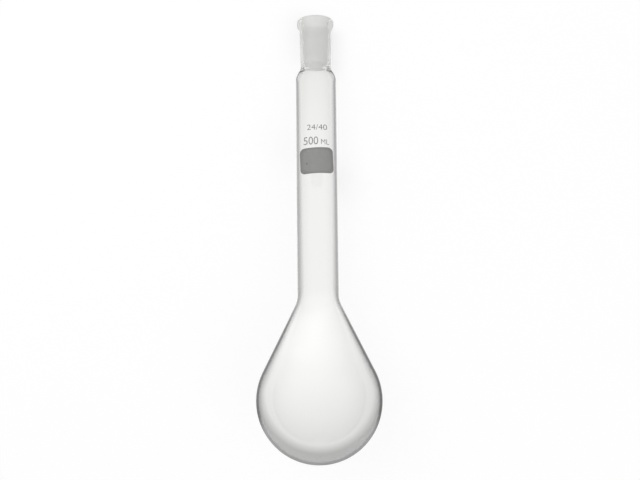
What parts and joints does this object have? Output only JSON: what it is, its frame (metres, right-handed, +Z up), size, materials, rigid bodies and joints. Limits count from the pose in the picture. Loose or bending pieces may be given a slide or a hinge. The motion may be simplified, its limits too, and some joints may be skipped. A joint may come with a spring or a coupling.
{
  "type": "kjeldahl flask",
  "caption": "Long-necked pear-bulb digestion flask of clear glass with a ground socket and a rolled rim at the mouth.",
  "frame": {"origin": "on the ground under the middle of the lying flask's bounding box", "axes": "+Y towards the mouth and +Z up, with the writing spot on top; the flask rests on its bulb and its rim, so its own axis droops 6.47 degrees below +Y towards the mouth"},
  "size_m": [0.105, 0.379, 0.105],
  "materials": {
    "glass": "clear and glossy, ground frosted inside the socket",
    "enamel": "fired enamel, matt grey"
  },
  "bodies": {
    "root": {"flask": "glass", "writing_spot": "enamel"}
  },
  "joints": []
}
